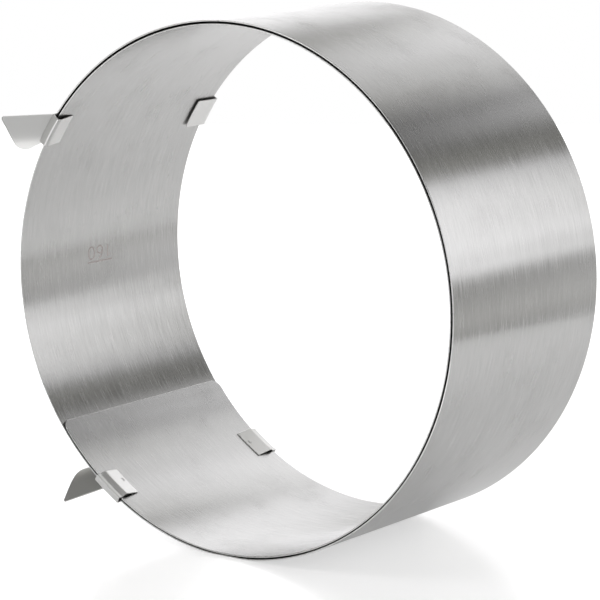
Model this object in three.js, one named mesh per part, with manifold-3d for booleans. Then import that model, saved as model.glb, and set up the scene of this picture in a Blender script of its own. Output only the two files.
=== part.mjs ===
// Adjustable cake ring: one long band of springy sheet steel, rolled past itself into a ring,
// with a folded clip on both rims at each of its two ends and a finger tab on the two front clips.
// Millimetres, +Z up. The ring stands on its curved outside and its axis lies along Y: the front
// rim is at -Y, the origin is the middle of the narrow flat that it stands on.
// The band is one sheet of steel. It is divided across its length into short strips, which turn
// on each other a little and so let the whole ring open and close.
// Wrap is the angle that the band has turned through since its inner end.
import * as THREE from 'three';
import { mergeVertices } from 'three/addons/utils/BufferGeometryUtils.js';
import Module from 'manifold-3d';

const wasm = await Module();
wasm.setup();

// Driving dimensions of the band
const bandWidth = 85;
const sheet = 0.6;
const layerGap = 0.8;
const startRadius = 85;
const endCornerRadius = 3.5;
const bendGap = 0.3;

// How the band is rolled and divided
const wrapDegrees = 655.5;
const footWrapDegrees = 413.8;
const footDegrees = 270;
const stripsBeforeFoot = 27;
const stripsAfterFoot = 15;
const facetsPerStrip = 4;
const cornerSteps = 4;
const footRiseShare = 0.6;
const footWidthLimitShare = 0.8;

// Driving dimensions of the clips
const clipSheet = 0.4;
const clipLength = 11.5;
const clipEdgeSetback = 1;
const seatGap = 0.3;
const slideGap = 0.85;
const outerSlideGap = 0.75;
const foldReach = 1.5;
const foldRadius = 0.9;
const joggleRise = 0.6;
const joggleStart = 4;
const joggleEnd = 2.4;
const innerFlangeDepth = 8.7;
const innerLegDepth = 7.5;
const outerFlangeDepth = 7;
const outerFlangeDepthBack = 9;
const outerLegDepth = 9;
const clipStations = 4;
const foldSteps = 3;

// Driving dimensions of the finger tabs. Each is the same plate, bent a little differently by use.
const tabLength = 19.5;
const tabTipRadius = 0.9;
const tabHumpAlong = 12.3;
const tabHumpAcross = 7.7;
const tabHumpRadius = 3.9;
const tabRootDepth = 4;
const tabSink = 0.05;
const tabFlatWidth = 5.5;
const tabCurlRadius = 16;
const tabSlantDegrees = 32;
const tabStations = 18;
const tabEdgeShare = 0.02;
const tabCurveSteps = 12;
const reachSteps = 4;
const innerTabStart = -2;
const innerTabRootWidth = 3.6;
const innerTabLeanDegrees = 10;
const innerTabTurnDegrees = 30;
const outerTabStart = 5.4;
const outerTabRootWidth = 10.5;
const outerTabLeanDegrees = 33;
const outerTabTurnDegrees = -20;

// Finish of the brushed band and of the smoother clips
const bandColor = 0xb9bab6;
const clipColor = 0xc9cac6;
const bandRoughness = 0.34;
const clipRoughness = 0.28;

const radians = THREE.MathUtils.degToRad;
const pitch = sheet + layerGap;
const startMidRadius = startRadius + sheet / 2;
const radiusPerRadian = pitch / (2 * Math.PI);
const totalWrap = radians(wrapDegrees);
const footWrap = radians(footWrapDegrees);
const edgeAngle = radians(footDegrees) - footWrap;
const rim = bandWidth / 2;

// Radius of the middle of the sheet at a wrap, and the length of band up to there
const midRadius = (wrap) => startMidRadius + radiusPerRadian * wrap;
const lengthAt = (wrap) => wrap * (startMidRadius + midRadius(wrap)) / 2;
function wrapAt(length) {
  const root = Math.sqrt(startMidRadius ** 2 + 2 * radiusPerRadian * length);
  return (root - startMidRadius) / radiusPerRadian;
}

// The foot is a flat in the outer layer, as deep as a share of the gap between the layers
const footRadius = midRadius(footWrap);
const footRise = layerGap * footRiseShare;
const bandLength = lengthAt(totalWrap);
const footLength = lengthAt(footWrap);
const footStrip = bandLength / (stripsBeforeFoot + 1 + stripsAfterFoot);
const footHalfStrip = footStrip / 2;
const wantedFootHalfAngle = Math.acos(1 - footRise / (footRadius + sheet / 2));
const footHalfAngle = Math.min(wantedFootHalfAngle, footWidthLimitShare * footHalfStrip / footRadius);
const centreHeight = (footRadius + sheet / 2) * Math.cos(footHalfAngle);

// Where the band is divided, as lengths from its inner end
const bendLines = [];
const stripBefore = (footLength - footHalfStrip) / stripsBeforeFoot;
const stripAfter = (bandLength - footLength - footHalfStrip) / stripsAfterFoot;
for (let k = 0; k <= stripsBeforeFoot; k += 1) bendLines.push(k * stripBefore);
for (let k = 0; k <= stripsAfterFoot; k += 1) {
  bendLines.push(footLength + footHalfStrip + k * stripAfter);
}

// A point of the rolled band: wrap round the ring, radius from its axis and place along the axis
function place(wrap, radius, along) {
  const angle = edgeAngle + wrap;
  return new THREE.Vector3(radius * Math.cos(angle), along, centreHeight + radius * Math.sin(angle));
}

// A closed body through like sections, with its two ends closed by the given triangles
function loft(sections, endFaces) {
  const size = sections[0].length;
  const last = (sections.length - 1) * size;
  const index = [];
  for (let row = 0; row < last; row += size) {
    for (let k = 0; k < size; k += 1) {
      const next = (k + 1) % size;
      index.push(row + k, row + next, row + size + next);
      index.push(row + k, row + size + next, row + size + k);
    }
  }
  for (const [a, b, c] of endFaces) {
    index.push(a, c, b);
    index.push(last + a, last + b, last + c);
  }
  return facedOutwards(sections.flat(), index);
}

function facedOutwards(points, index) {
  let volume = 0;
  for (let k = 0; k < index.length; k += 3) {
    const [a, b, c] = [points[index[k]], points[index[k + 1]], points[index[k + 2]]];
    volume += a.dot(b.clone().cross(c));
  }
  const geometry = new THREE.BufferGeometry().setFromPoints(points);
  geometry.setIndex(volume < 0 ? index.slice().reverse() : index);
  return geometry;
}

const squareEnd = [[0, 1, 2], [0, 2, 3]];

// One strip of the band. Its sections run round the ring and each is a slice across the sheet.
function stripGeometry(number) {
  const isFirst = number === 0;
  const isLast = number === bendLines.length - 2;
  const from = bendLines[number] + (isFirst ? 0 : bendGap / 2);
  const to = bendLines[number + 1] - (isLast ? 0 : bendGap / 2);
  if (number === stripsBeforeFoot) return footGeometry(wrapAt(from), wrapAt(to));
  const marks = [];
  for (let k = 0; k <= facetsPerStrip; k += 1) {
    marks.push({ length: from + (to - from) * k / facetsPerStrip, inset: 0 });
  }
  if (isFirst) marks.splice(0, 1, ...cornerMarks(from, 1));
  if (isLast) marks.splice(marks.length - 1, 1, ...cornerMarks(to, -1).reverse());
  const sections = marks.map(({ length, inset }) => {
    const wrap = wrapAt(length);
    return slice(wrap, midRadius(wrap), rim - inset);
  });
  return loft(sections, squareEnd);
}

// The rounded corners of a free end: how far the rim draws in at steps along the corner
function cornerMarks(edge, inwards) {
  const marks = [];
  for (let k = 0; k <= cornerSteps; k += 1) {
    const turn = k / cornerSteps * Math.PI / 2;
    const length = edge + inwards * endCornerRadius * (1 - Math.cos(turn));
    marks.push({ length, inset: endCornerRadius * (1 - Math.sin(turn)) });
  }
  return marks;
}

function slice(wrap, radius, reach) {
  return [
    place(wrap, radius - sheet / 2, -reach),
    place(wrap, radius + sheet / 2, -reach),
    place(wrap, radius + sheet / 2, reach),
    place(wrap, radius - sheet / 2, reach),
  ];
}

// The strip that the ring stands on, with a level flat in the middle
function footGeometry(fromWrap, toWrap) {
  const sections = [
    slice(fromWrap, midRadius(fromWrap), rim),
    slice(footWrap - footHalfAngle, footRadius, rim),
    slice(footWrap + footHalfAngle, footRadius, rim),
    slice(toWrap, midRadius(toWrap), rim),
  ];
  return loft(sections, squareEnd);
}

// Outline of bent sheet metal, from the line through the middle of the sheet. A point is its
// depth in from the rim and its rise away from the middle of the band.
function bentSheetOutline(line, thickness) {
  const left = [];
  const right = [];
  for (let k = 0; k < line.length; k += 1) {
    const before = line[Math.max(k - 1, 0)];
    const after = line[Math.min(k + 1, line.length - 1)];
    const inward = line[k].clone().sub(before);
    const outward = after.clone().sub(line[k]);
    if (k === 0) inward.copy(outward);
    if (k === line.length - 1) outward.copy(inward);
    const normal = inward.normalize().add(outward.normalize()).normalize();
    const spread = thickness / 2 / normal.dot(outward);
    const offset = new THREE.Vector2(-normal.y, normal.x).multiplyScalar(spread);
    left.push(line[k].clone().add(offset));
    right.unshift(line[k].clone().sub(offset));
  }
  const outline = left.concat(right);
  return THREE.ShapeUtils.isClockWise(outline) ? outline.reverse() : outline;
}

// The rounded front fold of a clip, from the rise of its inner flange to that of its outer leg
function foldLine(innerRise, outerRise) {
  const front = -foldReach;
  const points = [];
  for (let k = 0; k <= foldSteps; k += 1) {
    const turn = k / foldSteps * Math.PI / 2;
    const depth = front + foldRadius * (1 - Math.sin(turn));
    points.push(new THREE.Vector2(depth, innerRise + foldRadius * (1 - Math.cos(turn))));
  }
  for (let k = foldSteps; k >= 0; k -= 1) {
    const turn = k / foldSteps * Math.PI / 2;
    const depth = front + foldRadius * (1 - Math.sin(turn));
    points.push(new THREE.Vector2(depth, outerRise - foldRadius * (1 - Math.cos(turn))));
  }
  return points;
}

// Clip of the inner end: its flange is welded to the inside of the band, its leg clears the outer layer
function innerClipLine() {
  const seat = -(sheet / 2 + seatGap + clipSheet / 2);
  const raised = seat - joggleRise;
  const leg = pitch + sheet / 2 + outerSlideGap + clipSheet / 2;
  return [
    new THREE.Vector2(innerFlangeDepth, seat),
    new THREE.Vector2(joggleStart, seat),
    new THREE.Vector2(joggleEnd, raised),
    ...foldLine(raised, leg),
    new THREE.Vector2(innerLegDepth, leg),
  ];
}

// Clip of the outer end: its leg is welded to the outside of the band, its flange clears the inner layer
function outerClipLine(flangeDepth) {
  const flange = -(pitch + sheet / 2 + slideGap + clipSheet / 2);
  const seat = sheet / 2 + seatGap + clipSheet / 2;
  return [
    new THREE.Vector2(flangeDepth, flange),
    ...foldLine(flange, seat),
    new THREE.Vector2(outerLegDepth, seat),
  ];
}

// A clip is its bent outline carried round a short stretch of the ring. Side is -1 at the front rim, 1 at the back.
function clipGeometry(line, centreWrap, side) {
  const outline = bentSheetOutline(line, clipSheet);
  const halfAngle = clipLength / 2 / midRadius(centreWrap);
  const sections = [];
  for (let k = 0; k < clipStations; k += 1) {
    const wrap = centreWrap + halfAngle * (2 * k / (clipStations - 1) - 1);
    const radius = midRadius(wrap);
    sections.push(outline.map((p) => place(wrap, radius + p.y, side * (rim - p.x))));
  }
  return loft(sections, THREE.ShapeUtils.triangulateShape(outline, []));
}

// Outline round a row of discs, like a belt round pulleys
function beltOutline(discs) {
  const leaving = discs.map((disc, k) => {
    const next = discs[(k + 1) % discs.length];
    const gap = next.centre.clone().sub(disc.centre);
    return gap.angle() - Math.acos((disc.radius - next.radius) / gap.length());
  });
  const path = new THREE.Path();
  discs.forEach(({ centre, radius }, k) => {
    const from = leaving[(k + discs.length - 1) % discs.length];
    path.absarc(centre.x, centre.y, radius, from, leaving[k], false);
  });
  return path.getPoints(tabCurveSteps);
}

// How far an outline reaches, lowest and highest x, along a line of constant y
function spanAt(outline, y) {
  const crossings = [];
  for (let k = 0; k < outline.length; k += 1) {
    const a = outline[k];
    const b = outline[(k + 1) % outline.length];
    if ((a.y > y) !== (b.y > y)) crossings.push(a.x + (b.x - a.x) * (y - a.y) / (b.y - a.y));
  }
  return [Math.min(...crossings), Math.max(...crossings)];
}

const innerTab = {
  start: innerTabStart,
  rootWidth: innerTabRootWidth,
  lean: radians(innerTabLeanDegrees),
  turn: radians(innerTabTurnDegrees),
};
const outerTab = {
  start: outerTabStart,
  rootWidth: outerTabRootWidth,
  lean: radians(outerTabLeanDegrees),
  turn: radians(outerTabTurnDegrees),
};

// Finger tab: a plate like a low fin that stands out from the leg of a front clip. One long edge
// is straight and slants over the free end of the band, the other has a hump that curls back.
// X of the flat outline runs along the straight edge, out from the leg, and y across from it.
function tabOutline(rootWidth) {
  const slant = radians(tabSlantDegrees);
  const rootEnd = new THREE.Vector2(Math.sin(slant), Math.cos(slant)).multiplyScalar(rootWidth);
  return beltOutline([
    { centre: new THREE.Vector2(), radius: 0 },
    { centre: new THREE.Vector2(tabLength - tabTipRadius, tabTipRadius), radius: tabTipRadius },
    { centre: new THREE.Vector2(tabHumpAlong, tabHumpAcross), radius: tabHumpRadius },
    { centre: rootEnd, radius: 0 },
  ]);
}

// How far to go from a point, along a direction, to be at a distance from the ring's axis
function reachToRadius(point, along, radial, radius) {
  const there = point.clone();
  for (let step = 0; step < reachSteps; step += 1) {
    const missing = radius - Math.hypot(there.x, there.z - centreHeight);
    there.addScaledVector(along, missing / along.dot(radial));
  }
  return there.sub(point).dot(along);
}

// The tab leans forward over the rim and is turned about its straight edge, hump to the back.
// Towards is 1 where that edge faces a growing wrap and -1 where it faces a shrinking one.
function tabGeometry(tab, centreWrap, towards, legRise) {
  const angle = edgeAngle + centreWrap;
  const radial = new THREE.Vector3(Math.cos(angle), 0, Math.sin(angle));
  const tangent = new THREE.Vector3(-Math.sin(angle), 0, Math.cos(angle)).multiplyScalar(towards);
  const slant = radians(tabSlantDegrees);
  const outward = radial.clone().multiplyScalar(Math.cos(tab.lean));
  outward.y = -Math.sin(tab.lean);
  const along = outward.clone().multiplyScalar(Math.cos(slant));
  along.addScaledVector(tangent, -Math.sin(slant));
  const across = outward.clone().multiplyScalar(-Math.sin(slant));
  across.addScaledVector(tangent, -Math.cos(slant));
  const face = across.clone().cross(along).multiplyScalar(towards);
  across.applyAxisAngle(along, towards * tab.turn);
  face.applyAxisAngle(along, towards * tab.turn);
  const legRadius = midRadius(centreWrap) + legRise + clipSheet / 2;
  const root = radial.clone().multiplyScalar(legRadius);
  root.addScaledVector(tangent, tab.start);
  root.add(new THREE.Vector3(0, tabRootDepth - rim, centreHeight));
  const outline = tabOutline(tab.rootWidth);
  const fullWidth = tabHumpAcross + tabHumpRadius;
  const rootAcross = tab.rootWidth * Math.cos(slant);
  const sections = [];
  for (let k = 0; k < tabStations; k += 1) {
    const share = tabEdgeShare + (1 - 2 * tabEdgeShare) * k / (tabStations - 1);
    const width = fullWidth * share;
    const turn = Math.max(width - tabFlatWidth, 0) / tabCurlRadius;
    const flat = Math.min(width, tabFlatWidth);
    const middle = root.clone().addScaledVector(across, flat + tabCurlRadius * Math.sin(turn));
    middle.addScaledVector(face, tabCurlRadius * (Math.cos(turn) - 1));
    const normal = face.clone().multiplyScalar(Math.cos(turn)).addScaledVector(across, Math.sin(turn));
    const [edge, far] = spanAt(outline, width);
    const onLeg = reachToRadius(middle, along, radial, legRadius - tabSink);
    const near = width < rootAcross ? onLeg : Math.max(edge, onLeg);
    const corners = [[near, -1], [near, 1], [far, 1], [far, -1]];
    sections.push(corners.map(([out, side]) => {
      const point = middle.clone().addScaledVector(along, out);
      return point.addScaledVector(normal, side * clipSheet / 2);
    }));
  }
  return loft(sections, squareEnd);
}

function solidOf(geometry) {
  const merged = mergeVertices(geometry);
  const vertProperties = new Float32Array(merged.attributes.position.array);
  const triVerts = new Uint32Array(merged.index.array);
  return new wasm.Manifold(new wasm.Mesh({ numProp: 3, vertProperties, triVerts }));
}

function joined(first, second) {
  const mesh = solidOf(first).add(solidOf(second)).getMesh();
  const geometry = new THREE.BufferGeometry();
  geometry.setAttribute('position', new THREE.BufferAttribute(mesh.vertProperties, mesh.numProp));
  geometry.setIndex(new THREE.BufferAttribute(mesh.triVerts, 1));
  return geometry;
}

const ring = new THREE.Group();

function addPiece(name, geometry, color, roughness) {
  geometry.computeVertexNormals();
  const material = new THREE.MeshStandardMaterial({ color, roughness, metalness: 1 });
  const mesh = new THREE.Mesh(geometry, material);
  mesh.name = name;
  ring.add(mesh);
}

for (let k = 0; k < bendLines.length - 1; k += 1) {
  const number = String(k + 1).padStart(2, '0');
  addPiece(`band_strip_${number}`, stripGeometry(k), bandColor, bandRoughness);
}

// The inner clips sit just past the first bend line, the outer ones close to the outer end
const innerWrap = wrapAt(bendLines[1] + bendGap / 2 + clipLength / 2);
const outerWrap = wrapAt(bandLength - clipEdgeSetback - clipLength / 2);
const innerClip = innerClipLine();
const outerClipFront = outerClipLine(outerFlangeDepth);
const outerClipBack = outerClipLine(outerFlangeDepthBack);
const clips = {
  inner_end_clip_front: joined(
    clipGeometry(innerClip, innerWrap, -1),
    tabGeometry(innerTab, innerWrap, 1, innerClip.at(-1).y),
  ),
  inner_end_clip_back: clipGeometry(innerClip, innerWrap, 1),
  outer_end_clip_front: joined(
    clipGeometry(outerClipFront, outerWrap, -1),
    tabGeometry(outerTab, outerWrap, -1, outerClipFront.at(-1).y),
  ),
  outer_end_clip_back: clipGeometry(outerClipBack, outerWrap, 1),
};
for (const [name, geometry] of Object.entries(clips)) {
  addPiece(name, geometry, clipColor, clipRoughness);
}

export default ring;
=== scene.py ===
"""Adjustable cake ring in brushed steel: a long band rolled past itself, a folded clip on both rims
at each end, two finger tabs, a scale etched inside, and a plain white studio."""

from math import acos, asin, atan2, cos, hypot, pi, radians, sin, sqrt, tan, tau

import bpy
from bpy.props import FloatProperty, FloatVectorProperty, PointerProperty
from mathutils import Matrix, Vector


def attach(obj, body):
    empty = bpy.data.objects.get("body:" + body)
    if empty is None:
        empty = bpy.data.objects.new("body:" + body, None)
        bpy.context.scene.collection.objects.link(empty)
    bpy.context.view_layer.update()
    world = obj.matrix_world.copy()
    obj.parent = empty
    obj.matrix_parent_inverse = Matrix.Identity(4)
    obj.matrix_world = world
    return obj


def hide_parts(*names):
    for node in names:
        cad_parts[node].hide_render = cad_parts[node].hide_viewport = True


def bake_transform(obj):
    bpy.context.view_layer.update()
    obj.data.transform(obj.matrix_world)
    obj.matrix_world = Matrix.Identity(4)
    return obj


bl_info = {
    "name": "Adjustable cake ring",
    "version": (1, 0, 0),
    "blender": (4, 5, 0),
    "location": "View3D > Sidebar > Cake Ring",
    "description": "Builds the steel band, its clips, finger tabs and scale, and a white studio",
    "category": "Add Mesh",
}

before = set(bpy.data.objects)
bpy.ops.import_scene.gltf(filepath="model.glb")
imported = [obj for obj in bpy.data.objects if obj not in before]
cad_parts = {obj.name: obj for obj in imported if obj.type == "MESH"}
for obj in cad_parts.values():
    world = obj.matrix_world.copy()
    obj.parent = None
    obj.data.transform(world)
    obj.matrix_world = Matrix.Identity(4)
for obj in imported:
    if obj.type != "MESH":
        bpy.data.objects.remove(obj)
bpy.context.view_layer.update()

MM = 0.001
ACROSS = Vector((0, 1, 0))

# How the band is rolled and divided: the same wrap, bend lines and foot as the solids
WRAP = radians(655.5)
FOOT_WRAP = radians(413.8)
EDGE_ANGLE = radians(270) - FOOT_WRAP
SOLID_START = 85.3 * MM
SOLID_PITCH = 1.4 * MM
SOLID_SHEET = 0.6 * MM
FOOT_RISE = 0.48 * MM
STRIPS_BEFORE_FOOT = 27
STRIPS_AFTER_FOOT = 15
BEND_GAP = 0.3 * MM
END_CORNER = 3.5 * MM
CLIP_LENGTH = 11.5 * MM
CLIP_SETBACK = 1.0 * MM
# Half of the stretch that may be pressed level at the foot, in radians
FOOT_REACH = 0.3


def wrap_at(length):
    """Wrap angle at a length of band from its inner end."""
    growth = SOLID_PITCH / tau
    return (sqrt(SOLID_START**2 + 2 * growth * length) - SOLID_START) / growth


def length_at(wrap):
    return wrap * (2 * SOLID_START + SOLID_PITCH * wrap / tau) / 2


BAND_LENGTH = length_at(WRAP)
FOOT_LENGTH = length_at(FOOT_WRAP)
CENTRE = SOLID_START + SOLID_PITCH * FOOT_WRAP / tau + SOLID_SHEET / 2 - FOOT_RISE


def bend_lines():
    """Lengths of band at which the strips meet, with both free ends."""
    half_foot = BAND_LENGTH / (STRIPS_BEFORE_FOOT + 1 + STRIPS_AFTER_FOOT) / 2
    before = (FOOT_LENGTH - half_foot) / STRIPS_BEFORE_FOOT
    after = (BAND_LENGTH - FOOT_LENGTH - half_foot) / STRIPS_AFTER_FOOT
    lines = [before * k for k in range(STRIPS_BEFORE_FOOT + 1)]
    return lines + [FOOT_LENGTH + half_foot + after * k for k in range(STRIPS_AFTER_FOOT + 1)]


BENDS = bend_lines()
STRIPS = len(BENDS) - 1
MIDDLES = [(BENDS[k] + BENDS[k + 1]) / 2 for k in range(STRIPS)]
INNER_CLIP_WRAP = wrap_at(BENDS[1] + BEND_GAP / 2 + CLIP_LENGTH / 2)
OUTER_CLIP_WRAP = wrap_at(BAND_LENGTH - CLIP_SETBACK - CLIP_LENGTH / 2)
INNER_BODY = "strip_02"
OUTER_BODY = f"strip_{STRIPS:02d}"


def size(name, description, default, low, high):
    """A length property, from its values in mm."""
    return FloatProperty(
        name=name, description=description, default=default * MM, min=low * MM, max=high * MM,
        unit="LENGTH", precision=5,
    )


def colour(name, description, default):
    return FloatVectorProperty(
        name=name, description=description, default=default, subtype="COLOR", min=0, max=1
    )


class BandSizes(bpy.types.PropertyGroup):
    width: size("Width", "Height of the ring's wall, from rim to rim", 85, 40, 200)
    sheet: size("Sheet", "Thickness of the band's steel", 0.45, 0.2, 0.6)
    pitch: size("Layer pitch", "From the middle of one layer to that of the next", 1.1, 0.6, 1.4)
    start_radius: size("Start radius", "Radius of the sheet at the inner end", 85.5, 50, 200)


class ClipSizes(bpy.types.PropertyGroup):
    sheet: size("Sheet", "Thickness of the clips' steel", 0.4, 0.2, 0.6)
    slide: size("Sliding gap", "Room between a clip and the layer that it slides on", 0.3, 0.2, 0.8)
    reach: size("Fold reach", "How far the folded sheet stands out past the rim", 1.3, 0.6, 1.5)
    arch: size("Arch", "How far the inner clips' flange arches up from the band", 1, 0, 1.5)


class SteelLook(bpy.types.PropertyGroup):
    band: colour("Band steel", "Colour of the brushed band", (0.53, 0.53, 0.525))
    # The cut edge colour is dark: painted shade that gives the tabs' rounded sheared edges their
    # dark outline
    cut: colour("Cut edge", "Sheared edges of the tabs", (0.16, 0.16, 0.15))
    ink: colour("Scale", "Colour of the numbers etched inside the band", (0.46, 0.42, 0.41))


class StudioLook(bpy.types.PropertyGroup):
    table: colour("Table", "Colour of the white table", (0.86, 0.86, 0.86))
    light: FloatProperty(
        name="Light", description="Strength of the studio", default=1.0, min=0.2, max=2
    )


def chosen(part):
    """The settings of a part, as they stand in the sidebar."""
    return getattr(bpy.context.scene, f"cake_ring_{part}")


def radial_at(wrap):
    return Vector((cos(EDGE_ANGLE + wrap), 0, sin(EDGE_ANGLE + wrap)))


def tangent_at(wrap):
    return Vector((-sin(EDGE_ANGLE + wrap), 0, cos(EDGE_ANGLE + wrap)))


def place(wrap, radius, along):
    return radial_at(wrap) * radius + Vector((0, along, CENTRE))


# The inner end is springy and lies close under the layer outside it: length along the band and
# how far it leans out there, both in mm
LEAN = [
    (0, 0.3), (3, 0.18), (30, 0.18), (50, 0.32), (72, 0.32), (84, 0.18), (104, 0.18), (118, 0.32),
    (150, 0.32), (190, 0),
]


def lean_at(length):
    """How far the band leans out from its spiral."""
    for (start, rise), (end, next_rise) in zip(LEAN, LEAN[1:]):
        if length < end * MM:
            t = max((length / MM - start) / (end - start), 0)
            return (rise + (next_rise - rise) * t * t * (3 - 2 * t)) * MM
    return 0


def drawn_radius(wrap):
    """Middle of the drawn sheet, pressed level where the ring stands."""
    sizes = chosen("band")
    radius = sizes.start_radius + sizes.pitch * wrap / tau + lean_at(length_at(wrap))
    from_foot = wrap - FOOT_WRAP
    if abs(from_foot) > FOOT_REACH:
        return radius
    return min(radius, CENTRE / cos(from_foot) - sizes.sheet / 2)


def add_object(name, data):
    added = bpy.data.objects.new(name, data)
    bpy.context.scene.collection.objects.link(added)
    return added


def ring_material(name):
    """A material of the ring. The first call makes them all but clip_steel, plain steel that this
    script does not make."""
    if name not in bpy.data.materials:
        make_materials()
    return bpy.data.materials[name]


class Draft:
    """Collects points and faces, with a normal and a place on the sheet for every face corner."""

    def __init__(self):
        self.points, self.faces, self.normals, self.places, self.slots = [], [], [], [], []

    def face(self, corners, normals, places, slot=0):
        """Adds a face, wound to face the way that its normals do."""
        facing = Vector()
        for k in range(1, len(corners) - 1):
            a, b, c = (self.points[i] for i in (corners[0], corners[k], corners[k + 1]))
            facing += (b - a).cross(c - a)
        if facing.dot(sum(normals, Vector())) < 0:
            corners, normals, places = (list(reversed(x)) for x in (corners, normals, places))
        self.faces.append(corners)
        self.normals.extend(normals)
        self.places.extend(places)
        self.slots.append(slot)

    def make(self, name, *materials):
        """Makes the piece, with the materials of these names in its slots."""
        mesh = bpy.data.meshes.new(name)
        mesh.from_pydata([tuple(p) for p in self.points], [], self.faces)
        mesh.polygons.foreach_set("use_smooth", [True] * len(self.faces))
        mesh.polygons.foreach_set("material_index", self.slots)
        mesh.uv_layers.new(name="brush").data.foreach_set("uv", [x for p in self.places for x in p])
        for material in materials:
            mesh.materials.append(ring_material(material))
        mesh.normals_split_custom_set([tuple(n.normalized()) for n in self.normals])
        mesh.update()
        return add_object(name, mesh)


def skin(loops, cut=(0, 0)):
    """Quads between like closed loops, and a flat face on the first and the last. A loop has its
    corners as (point, normal, place across and along), the shift of its seam and the normal of its
    end. The corners from cut's first up to its second are a cut edge, in slot 1."""
    draft = Draft()
    count = len(loops[0]["corners"])
    for loop in loops:
        draft.points.extend(point for point, _, _ in loop["corners"])
    for row in range(len(loops) - 1):
        for k in range(count):
            after = (k + 1) % count
            spots = [(row, k), (row, after), (row + 1, after), (row + 1, k)]
            normals, places = [], []
            for r, c in spots:
                _, normal, (across, along) = loops[r]["corners"][c]
                normals.append(normal)
                places.append((across - (loops[r]["seam"] if after == 0 and c == k else 0), along))
            corners = [r * count + c for r, c in spots]
            draft.face(corners, normals, places, int(cut[0] <= k < cut[1]))
    for row, step in ((0, -1), (len(loops) - 1, 1)):
        order = range(count)[::step]
        corners = [row * count + c for c in order]
        places = [loops[row]["corners"][c][2] for c in order]
        draft.face(corners, [loops[row]["end"]] * count, places)
    return draft


RIM_STEPS = 6
SLOPE_STEP = 0.05 * MM
# Least share of the band's thickness that is left at its rounded cut ends
THIN_END = 0.15


def sheet_loop(length, outward=0, edge=0.0):
    """Cross section of the band with round rims. Outward is -1 or 1 near a free end, whose corners
    and cut edge are rounded, and edge is the length at that end."""
    sizes = chosen("band")
    wrap = wrap_at(length)
    out, tangent = radial_at(wrap), tangent_at(wrap)
    half, reach = sizes.sheet / 2, sizes.width / 2
    tip, corner, lip = Vector(), pi / 2, 0.0
    if outward:
        shift = abs(length - edge)
        corner = acos(max(1 - shift / END_CORNER, 0))
        reach -= END_CORNER * (1 - sin(corner))
        lip = asin(max(1 - shift / half, 0))
        half *= max(cos(lip), THIN_END)
        tip = tangent * outward
    radius = drawn_radius(wrap)
    slope = (lean_at(length + SLOPE_STEP) - lean_at(length)) / SLOPE_STEP
    out = (out - slope * tangent).normalized()
    side_edge = reach - half
    corners = []
    for side, run in ((1, side_edge), (-1, 3 * side_edge + pi * half)):
        for k in range(RIM_STEPS + 1):
            turn = pi * k / RIM_STEPS
            rise, spread = -side * cos(turn), sin(turn)
            point = place(wrap, radius + rise * half, side * (side_edge + half * spread))
            rim = side * sin(corner) * ACROSS + cos(corner) * tip
            upright = rise * cos(lip) * out + abs(rise) * sin(lip) * tip
            corners.append((point, upright + spread * rim, (run + half * turn, length)))
    return {
        "corners": corners,
        "seam": 4 * side_edge + tau * half,
        "end": tangent * outward if outward else tangent,
    }


def free_end_shifts():
    """How far from a free end the sections stand that round its cut edge and its corners."""
    half = chosen("band").sheet / 2
    shifts = [0, 0.1 * half, 0.4 * half, half]
    shifts += [END_CORNER * (1 - cos(radians(a))) for a in (25, 37, 50, 63, 76, 90)]
    return shifts


STRIP_SEGMENTS = 8


def band_piece(number):
    """Piece of the band round bend line number, from the middle of one strip to the middle of the
    next. Number 0 and the last are the half strips of the free ends."""
    first = number == 0
    last = number == STRIPS
    start = 0 if first else MIDDLES[number - 1]
    end = BAND_LENGTH if last else MIDDLES[number]
    loops = []
    shifts = free_end_shifts()
    if first:
        loops += [sheet_loop(shift, -1, 0.0) for shift in shifts]
        start = shifts[-1]
    if last:
        end = BAND_LENGTH - END_CORNER
    steps = [start + (end - start) * k / STRIP_SEGMENTS for k in range(STRIP_SEGMENTS + 1)]
    loops += [sheet_loop(length) for length in steps[1 if first else 0 :]]
    if last:
        loops += [sheet_loop(BAND_LENGTH - s, 1, BAND_LENGTH) for s in reversed(shifts[:-1])]
    if not first:
        loops[0]["end"] = -loops[0]["end"]
    draft = skin(loops)
    etch_scale(draft, 0 if first else start, end)
    piece = draft.make(f"band_{number:02d}", "brushed_band", "etched_scale")
    if first:
        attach(piece, "strip_01")
    elif last:
        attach(piece, OUTER_BODY)
        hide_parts(f"band_strip_{STRIPS:02d}")
    else:
        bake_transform(piece)
        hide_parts(f"band_strip_{number:02d}")


# Scale, etched on the inside of the band: diameters in mm, and the length of band at the first tick
SCALE_NUMBERS = range(160, 301, 20)
SCALE_START = 489 * MM
SCALE_MIDDLE = -1.2 * MM
DIGIT_HEIGHT = 4.3 * MM
DIGIT_WIDTH = 3.1 * MM
DIGIT_STEP = 4.4 * MM
DIGIT_CLEAR = 1.0 * MM
STROKE = 0.55 * MM
TICK = 12.8 * MM
ETCH_LIFT = 0.02 * MM
ETCH_SINK = 0.05 * MM


def arc(x, y, wide, high, start, end, steps=10):
    turns = [radians(start + (end - start) * k / steps) for k in range(steps + 1)]
    return [(x + wide * cos(t), y + high * sin(t)) for t in turns]


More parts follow.
